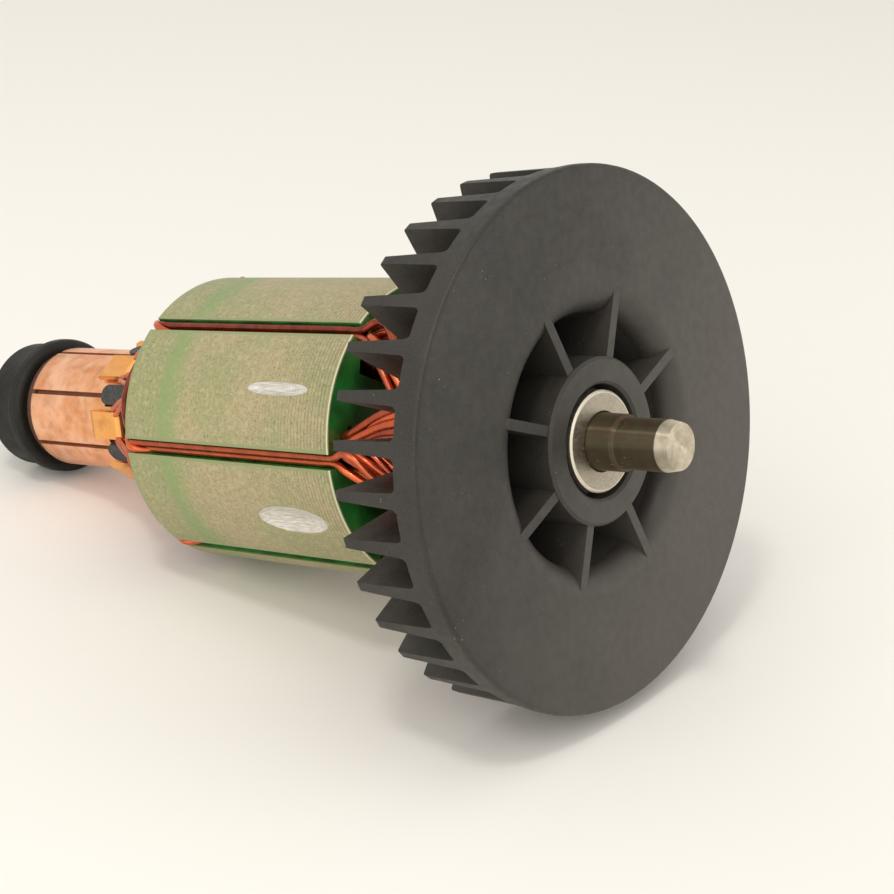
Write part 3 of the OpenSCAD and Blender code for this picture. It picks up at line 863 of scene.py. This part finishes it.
    def overpass(self, number: int, station: tuple, point: Vector) -> Vector:
        """Lead some strands out at the slot's mouth and over the neighbouring coil.

        Only the fan end of the inner coil side is changed, where these strands were wound last.

        Args:
            number: Place of the strand in the bundle's section.
            station: Station of the bundle.
            point: Where the strand would lie in the bundle.

        Returns:
            The point, moved for a strand that crosses over.
        """
        share = 1.0 - station[1] / self.span
        if number not in self.over or share >= 0.5 or station[2] < CORE.front - self.close_by:
            return point
        mouth_r, offset, lag = self.over[number]
        angle = math.radians(station[1])
        out = Vector((math.cos(angle), math.sin(angle), 0))
        back = Vector((math.sin(angle), -math.cos(angle), 0))
        if station[2] <= CORE.front + self.close_by:
            below, beside, inside = self.over_start
            return out * (mouth_r - below) + back * (offset - beside) \
                + Vector((0, 0, CORE.front - inside))
        climb = min(1.0, share / self.over_share)
        fade = max(0.0, (share - self.over_share) / (0.5 - self.over_share))
        radius = mouth_r + (self.over_r - mouth_r) * climb
        height = CORE.front + self.over_lift + self.over_z * climb
        over = out * radius + back * (offset - lag * climb) + Vector((0, 0, height))
        return over.lerp(point, fade ** 1.5)

    def build(self, finish: bpy.types.Material) -> None:
        """Wind the coil and put it in place of its plain solid.

        Args:
            finish: Material of the wire.
        """
        chance = random.Random(40 + self.number)
        turn = math.radians(CORE.phase + (self.number - 1) * CORE.pitch)
        place = AXIS.matrix @ Matrix.Rotation(turn, 4, "Z")
        wires = Wires(f"wires_{self.number}", self.wire_d, fineness=4)
        for number in range(len(self.grid)):
            wires.lay(self.strand(number, chance), place, closed=True)
        mesh = wires.mesh(finish)
        self.tint(mesh, chance)
        piece = add_piece(wires.name, mesh)
        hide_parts(f"coil_{self.number}")

    def tint(self, mesh: bpy.types.Mesh, chance: random.Random) -> None:
        """Give each strand its own shade.

        Args:
            mesh: Mesh of all the strands, one after the other.
            chance: Source of the shades.
        """
        layer = mesh.attributes.new("strand", "FLOAT", "POINT")
        each = len(mesh.vertices) // len(self.grid)
        shades = [chance.random() for _ in self.grid]
        layer.data.foreach_set("value", [shades[min(i // each, len(shades) - 1)]
                                         for i in range(len(mesh.vertices))])


@dataclass
class Leads:
    """Wires that run from the coils round the hooks of the commutator bars.

    Stations are angle in degrees from the hook's middle, radius, station along the axis and
    share of the wire's thickness that is left where it is pressed flat.
    """

    wire_d: float = 0.86
    sway: float = 0.6
    held_to: float = 13.0
    loop: tuple = (
        (-28.0, 11.0, -61.2, 1.0), (-22.0, 10.5, -63.4, 1.0), (-16.5, 9.3, -66.6, 1.0),
        (-12.0, 8.5, -68.1, 0.9), (0.0, 7.95, -68.5, 0.5), (12.0, 8.5, -68.1, 0.9),
        (16.5, 9.3, -66.6, 1.0), (22.0, 10.5, -63.4, 1.0), (28.0, 11.0, -61.2, 1.0))
    tail: tuple = (
        (1.6, 15.4, -51.6, 1.0), (1.9, 16.2, -53.8, 1.0), (0.4, 16.6, -55.3, 1.0),
        (-2.6, 16.1, -56.3, 1.0), (-6.5, 13.9, -57.9, 1.0), (-11.0, 11.6, -60.6, 1.0),
        (-16.0, 9.9, -62.2, 1.0))
    second: tuple = (
        (-27.0, 10.8, -60.9, 1.0), (-20.0, 10.9, -62.9, 1.0), (-14.0, 9.9, -65.4, 1.0),
        (-10.5, 8.9, -67.0, 0.9), (0.0, 8.0, -69.4, 0.5), (11.0, 8.7, -67.6, 0.9),
        (13.4, 10.1, -64.8, 1.0), (16.0, 11.6, -61.6, 1.0), (18.0, 11.7, -59.8, 1.0))

    def path(self, wire: tuple, turn: float, sway: float) -> list[Vector]:
        """Give the points of one wire at one hook.

        Args:
            wire: Stations of the wire.
            turn: Angle of the hook's middle, in degrees.
            sway: Angle by which the wire strays where the hook doesn't hold it.

        Returns:
            Points in the armature's own frame.
        """
        points = []
        for angle, radius, height, _ in wire:
            at = math.radians(turn + angle + (sway if abs(angle) > self.held_to else 0.0))
            points.append(Vector((radius * math.cos(at), radius * math.sin(at), height)))
        return points

    def build(self) -> None:
        """Lay the wires at every hook."""
        chance = random.Random(7)
        wires = Wires("leads", self.wire_d, fineness=6)
        for number in range(CORE.slots):
            turn = CORE.phase + number * CORE.pitch
            for wire in (self.loop, self.tail, self.second):
                sway = chance.uniform(-self.sway, self.sway)
                wires.lay(self.path(wire, turn, sway), AXIS.matrix, [row[3] for row in wire])
        mesh = wires.mesh(EnamelledCopper("enamelled_lead_wire").build())
        add_piece(wires.name, mesh)


@dataclass
class Windings:
    """The seven coils of the lap winding and their leads."""

    leads: Leads = field(default_factory=Leads)

    def build(self) -> None:
        """Wind each coil, then lay the leads."""
        finish = EnamelledCopper("enamelled_copper_wire").build()
        for number in range(1, CORE.slots + 1):
            Coil(number).build(finish)
        self.leads.build()


# ------------------------------------------------------------------------ surroundings

@dataclass
class Studio:
    """Pale card, soft light and the camera."""

    # the camera's place from the fan face, and its own axes
    lens_mm: float = 80.17
    spot_mm: tuple = (107.345, -155.617, 82.261)
    right: tuple = (0.76560, 0.64287, 0.02411)
    up: tuple = (-0.27718, 0.29582, 0.91414)
    forward: tuple = (-0.58054, 0.70655, -0.40467)

    # the card's half side in metres and its colour, and the light from all round it
    card_size: float = 4.0
    card: str = "#f8f5ef"
    sky: str = "#fffdf9"
    sky_light: float = 0.71
    shown_light: float = 0.96

    # for each lamp its name, place in metres, side in metres and power in watts
    lamp_tint: str = "#fffcf7"
    aim: tuple = (0.0, 0.0, 0.03)
    lamps: tuple = (("key", (0.05, -0.30, 0.85), 0.9, 1.0),
                    ("front", (0.10, -0.70, 0.38), 0.8, 2.6),
                    ("edge", (0.10, -0.25, 0.60), 0.08, 0.60),
                    ("side", (0.34, 0.24, 0.12), 0.24, 0.22))

    def floor(self) -> None:
        """Lay a wide pale card under the part."""
        shape = bmesh.new()
        bmesh.ops.create_grid(shape, x_segments=1, y_segments=1, size=self.card_size)
        mesh = bpy.data.meshes.new("floor")
        shape.to_mesh(mesh)
        shape.free()
        floor = bpy.data.objects.new("floor", mesh)
        bpy.context.collection.objects.link(floor)
        card = bpy.data.materials.new("white_card")
        card.use_nodes = True
        card.node_tree.nodes.clear()
        Finish.close(card.node_tree, {"Base Color": colour(self.card), "Roughness": 0.9,
                                      "Specular IOR Level": 0.2}, {})
        mesh.materials.append(card)

    def world(self) -> None:
        """Fill the surroundings with an even pale light.

        The camera and mirrored rays see the card's own colour, the rest a dimmer, whiter sky.
        """
        world = bpy.data.worlds.new("studio")
        bpy.context.scene.world = world
        world.use_nodes = True
        tree = world.node_tree
        tree.nodes.clear()
        ray = add_node(tree, "ShaderNodeLightPath")
        lit = add_node(tree, "ShaderNodeBackground",
                       {"Color": colour(self.sky), "Strength": self.sky_light})
        shown = add_node(tree, "ShaderNodeBackground",
                         {"Color": colour(self.card), "Strength": self.shown_light})
        seen = ray.outputs["Is Camera Ray"]
        for kind in ("Is Glossy Ray", "Is Transmission Ray"):
            seen = add_node(tree, "ShaderNodeMath", {"operation": "MAXIMUM"},
                            {0: seen, 1: ray.outputs[kind]}).outputs[0]
        mix = add_node(tree, "ShaderNodeMixShader", {},
                       {0: seen, 1: lit.outputs[0], 2: shown.outputs[0]})
        add_node(tree, "ShaderNodeOutputWorld", {}, {"Surface": mix.outputs[0]})

    def lamp(self, name: str, spot: tuple, size: float, watts: float) -> None:
        """Hang one soft lamp, turned to the part.

        Args:
            name: Name of the lamp.
            spot: Place in metres.
            size: Side of the square lamp in metres.
            watts: Power.
        """
        data = bpy.data.lights.new(name, "AREA")
        data.size = size
        data.energy = watts
        data.color = colour(self.lamp_tint)[:3]
        lamp = bpy.data.objects.new(name, data)
        bpy.context.collection.objects.link(lamp)
        lamp.location = spot
        lamp.rotation_euler = (Vector(self.aim) - Vector(spot)).to_track_quat(
            "-Z", "Y").to_euler()

    def camera(self) -> None:
        """Set the camera."""
        data = bpy.data.cameras.new("camera")
        data.lens = self.lens_mm
        data.sensor_width = 36.0
        data.clip_start = 0.01
        data.dof.use_dof = False
        camera = bpy.data.objects.new("camera", data)
        bpy.context.collection.objects.link(camera)
        back = -Vector(self.forward)
        turn = Matrix((Vector(self.right), Vector(self.up), back)).transposed().to_4x4()
        camera.matrix_world = Matrix.Translation(AXIS.face + Vector(self.spot_mm) * MM) @ turn
        bpy.context.scene.camera = camera

    def build(self) -> None:
        """Build the surroundings."""
        bpy.context.scene.view_settings.view_transform = "Standard"
        self.floor()
        self.world()
        for lamp in self.lamps:
            self.lamp(*lamp)
        self.camera()


def main() -> None:
    """Dress the armature and set the studio round it."""
    logging.basicConfig(level=logging.INFO, format="%(name)s: %(message)s")
    Solids().build()
    Windings().build()
    Studio().build()


if __name__ == "__main__":
    main()
